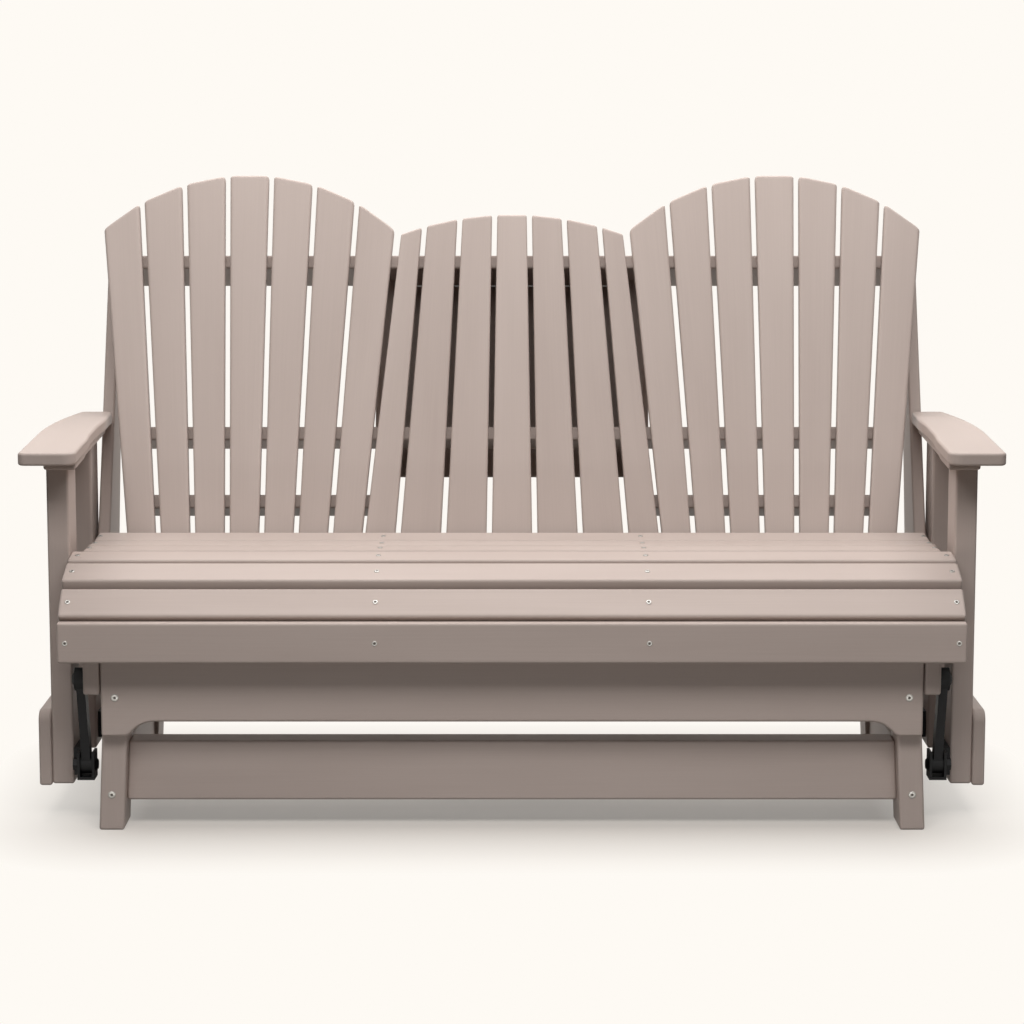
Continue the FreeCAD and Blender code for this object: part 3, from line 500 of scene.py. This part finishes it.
# Back fans: tapered slats that spread from the seat, with their tops sawn to one arc a fan.
# The two tall side fans widen upwards and the low centre fan narrows between them.
BACK_FOOT_Y, BACK_FOOT_Z = 0.058, 0.470
SLATS = 7
SLAT_GAP = 0.0095
SLAT_LOW_END = -0.03
GRAIN_STEP, GRAIN_SIDE = 3.7, 40.0
ARC_ROUNDS = 3


def fan_rule():
    """A fan of eased slats on the reclined back plane, sawn to an arc at the top."""
    wires, given = node_tree("fan_of_slats", {
        "Slats": SLATS, "Centre": 0.0, "Pitch": 0.0, "Spread": 0.0, "Gap": SLAT_GAP,
        "Inner trim": 0.0, "Outer trim": 0.0, "Low end": SLAT_LOW_END, "Arc radius": 0.0, "Arc top": 0.0,
        "Thickness": BOARD_THICK, "Edge round": EDGE_ROUND, "Side": 1.0, "Seed": 0, "Material": ""})
    line = wires.node("GeometryNodeMeshLine", {}, {"Count": given.output("Slats")})
    boards = wires.node("GeometryNodeInstanceOnPoints", {}, {
        "Points": line, "Instance": divided_cube(wires)})
    number = wires.node("GeometryNodeInputIndex", {}, {})
    boards = store(wires, boards, "number", number, "FLOAT", "INSTANCE")
    boards = tone_boards(wires, boards, given.output("Seed"))
    real = wires.node("GeometryNodeRealizeInstances", {}, {"Geometry": boards})
    number = named(wires, "number", "FLOAT")
    wide = given.output("Pitch") - given.output("Gap")
    tall = given.output("Arc top") - given.output("Low end")
    half = wires.node("ShaderNodeCombineXYZ", {}, {
        "X": wide * 0.5, "Y": tall * 0.5, "Z": given.output("Thickness") * 0.5})
    local = eased_corner(wires, named(wires, "corner"), half, given.output("Edge round"))
    parts = wires.node("ShaderNodeSeparateXYZ", {}, {0: local})
    across = parts.output("X") / wide + 0.5
    along = parts.output("Y") / tall + 0.5
    is_first = wires.sum("LESS_THAN", number, 0.5)
    is_last = wires.sum("GREATER_THAN", number, given.output("Slats") - 1.5)
    left = given.output("Gap") * 0.5 + is_first * given.output("Inner trim")
    right = given.output("Gap") * 0.5 + is_last * given.output("Outer trim")
    ray = number - given.output("Slats") * 0.5 + across
    shift = left - (left + right) * across

    def out_at(up):
        return ray * (given.output("Pitch") + given.output("Spread") * up) + shift

    top = given.output("Arc top")
    radius = given.output("Arc radius")
    for settle in range(ARC_ROUNDS):
        out = out_at(top)
        top = given.output("Arc top") - radius + wires.sum("SQRT", radius * radius - out * out)
    up = given.output("Low end") + along * (top - given.output("Low end"))
    behind = given.output("Thickness") * 0.5 - parts.output("Z")
    place = wires.node("ShaderNodeCombineXYZ", {}, {
        "X": (given.output("Centre") + out_at(up)) * given.output("Side"),
        "Y": BACK_FOOT_Y + up * math.sin(RECLINE) + behind * math.cos(RECLINE),
        "Z": BACK_FOOT_Z + up * math.cos(RECLINE) - behind * math.sin(RECLINE)})
    run = wires.node("ShaderNodeCombineXYZ", {}, {
        "X": up + number * GRAIN_STEP + given.output("Side") * GRAIN_SIDE,
        "Y": parts.output("X"), "Z": parts.output("Z")})
    laid = wires.node("GeometryNodeSetPosition", {}, {
        "Geometry": store(wires, real, "board_run", run), "Position": place})
    mirrored = wires.node("GeometryNodeFlipFaces", {}, {
        "Mesh": laid, "Selection": wires.sum("LESS_THAN", given.output("Side"), 0.0)})
    close_tree(wires, mirrored, given)
    return wires.tree


fan = fan_rule()
SIDE_FAN = {"Centre": 0.484, "Pitch": 0.0625, "Spread": 0.02734, "Outer trim": 0.0015,
            "Arc radius": 0.395, "Arc top": 0.663, "Seed": 11, "Material": lumber_board}
CENTRE_TRIM = 0.0185
CENTRE_FAN = {"Pitch": 0.0822, "Spread": -0.0314, "Inner trim": CENTRE_TRIM, "Outer trim": CENTRE_TRIM,
              "Arc radius": 0.575, "Arc top": 0.588, "Seed": 13, "Material": lumber_board}
for side, sign in (("left", -1.0), ("right", 1.0)):
    nothing = bpy.data.meshes.new(f"{side}_fan_seed")
    slats = grown(f"{side}_fan_slats", fan, nothing, {**SIDE_FAN, "Side": sign}, "seat")
    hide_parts(*[f"side_fan_slat_{n}" for n in range(1, SLATS + 1)])
nothing = bpy.data.meshes.new("centre_fan_seed")
slats = grown("centre_fan_slats", fan, nothing, CENTRE_FAN, "seat")
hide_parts(*[f"centre_fan_slat_{n}" for n in range(1, SLATS + 1)])


# Arms: broad flat boards over the posts that draw in to the rear, with a slight step inside.
# A thinner board under each arm lies across the tops of the posts and stiffens it.
dress(lumber_front_to_back, "arm_board_left", "arm_board_right", "under_arm_boards")


# Studio: a pale seamless floor, soft boxes in front, overhead, low down and behind, a faint sky.
# The floor and the sky show the camera the same off-white. Under the bench the floor glows less,
# so that it keeps the shadow, and for light that bounces it is a duller paper.
PALE = srgb(254, 250, 244)
PAPER, DULL_PAPER = srgb(230, 221, 212), srgb(110, 108, 105)
SKY_TINT, SKY_LEVEL = srgb(255, 252, 248), 0.03
FLOOR_HALF = 30
SHADOW_HALF_LONG, SHADOW_HALF_DEEP, SHADOW_FADE, LEAST_GLOW = 0.64, 0.26, 0.32, 0.25


def in_view(wires):
    """1 for a ray from the camera, or for one mirrored or passed through on the way, and 0 for the rest."""
    ray = wires.node("ShaderNodeLightPath", {}, {}, "Is Camera Ray")
    passed_on = wires.sum("MAXIMUM", ray.output("Is Glossy Ray"), ray.output("Is Transmission Ray"))
    return wires.sum("MAXIMUM", ray, passed_on)


floor_mesh = bpy.data.meshes.new("studio_floor")
corners = [(-FLOOR_HALF, -FLOOR_HALF, 0), (FLOOR_HALF, -FLOOR_HALF, 0),
           (FLOOR_HALF, FLOOR_HALF, 0), (-FLOOR_HALF, FLOOR_HALF, 0)]
floor_mesh.from_pydata(corners, [], [(0, 1, 2, 3)])
floor = bpy.data.objects.new("studio_floor", floor_mesh)
bpy.context.scene.collection.objects.link(floor)
floor_paper, wires = shader("studio_paper")
place = wires.node("ShaderNodeTexCoord", {}, {}, "Object")
parts = wires.node("ShaderNodeSeparateXYZ", {}, {0: place})
far_x = wires.sum("MAXIMUM", wires.sum("ABSOLUTE", parts.output("X")) - SHADOW_HALF_LONG, 0.0)
far_y = wires.sum("MAXIMUM", wires.sum("ABSOLUTE", parts.output("Y")) - SHADOW_HALF_DEEP, 0.0)
away = wires.sum("SQRT", far_x * far_x + far_y * far_y)
fade = wires.sum("MINIMUM", away / SHADOW_FADE, 1.0)
share = LEAST_GLOW + fade * (1 - LEAST_GLOW)
paper = wires.node("ShaderNodeBsdfDiffuse", {}, {"Color": PAPER})
dull_paper = wires.node("ShaderNodeBsdfDiffuse", {}, {"Color": DULL_PAPER})
glow = wires.node("ShaderNodeEmission", {}, {"Color": PALE, "Strength": 1.0})
pale_floor = wires.node("ShaderNodeMixShader", {}, {0: share, 1: paper, 2: glow})
laid = wires.node("ShaderNodeMixShader", {}, {0: in_view(wires), 1: dull_paper, 2: pale_floor})
wires.node("ShaderNodeOutputMaterial", {}, {"Surface": laid})
floor_mesh.materials.append(floor_paper)

world = bpy.data.worlds.new("studio_sky")
bpy.context.scene.world = world
world.use_nodes = True
world.node_tree.nodes.clear()
wires = Wire(world.node_tree)
even_sky = wires.node("ShaderNodeBackground", {}, {"Color": SKY_TINT, "Strength": SKY_LEVEL})
backdrop = wires.node("ShaderNodeBackground", {}, {"Color": PALE, "Strength": 1.0})
laid = wires.node("ShaderNodeMixShader", {}, {0: in_view(wires), 1: even_sky, 2: backdrop})
wires.node("ShaderNodeOutputWorld", {}, {"Surface": laid})


def soft_box(name, place, tilt, wide, deep, watts):
    """A rectangular soft box, out of the camera's sight; a positive tilt turns it towards the back."""
    light = bpy.data.lights.new(name, "AREA")
    light.shape = "RECTANGLE"
    light.size, light.size_y = wide, deep
    light.energy = watts
    stand = bpy.data.objects.new(name, light)
    stand.location = place
    stand.rotation_euler = (math.radians(tilt), 0, 0)
    stand.visible_camera = False
    bpy.context.scene.collection.objects.link(stand)
    return stand


soft_box("key_box", (0, -2.6, 3.0), 42, 3.6, 1.2, 79)
soft_box("top_box", (0, 0.7, 2.3), -15, 3.2, 1.2, 42)
soft_box("low_box", (0, -0.35, 1.95), 0, 3.0, 1.0, 15)
soft_box("floor_box", (0, -1.3, 0.06), 30, 2.4, 0.1, 7)
rear_box = soft_box("rear_box", (0, 3.4, 1.3), -82, 3.2, 1.6, 38)
rear_box.visible_glossy = False

CAMERA_PLACE = (0, -5.262, 1.2686)
CAMERA_PITCH = math.radians(8.203)
SENSOR_MM, FOCAL_MM = 36, 104.68
lens = bpy.data.cameras.new("front_camera")
lens.sensor_width = SENSOR_MM
lens.lens = FOCAL_MM
camera = bpy.data.objects.new("front_camera", lens)
camera.location = CAMERA_PLACE
camera.rotation_euler = (QUARTER - CAMERA_PITCH, 0, 0)
bpy.context.scene.collection.objects.link(camera)
bpy.context.scene.camera = camera
bpy.context.scene.view_settings.view_transform = "Standard"
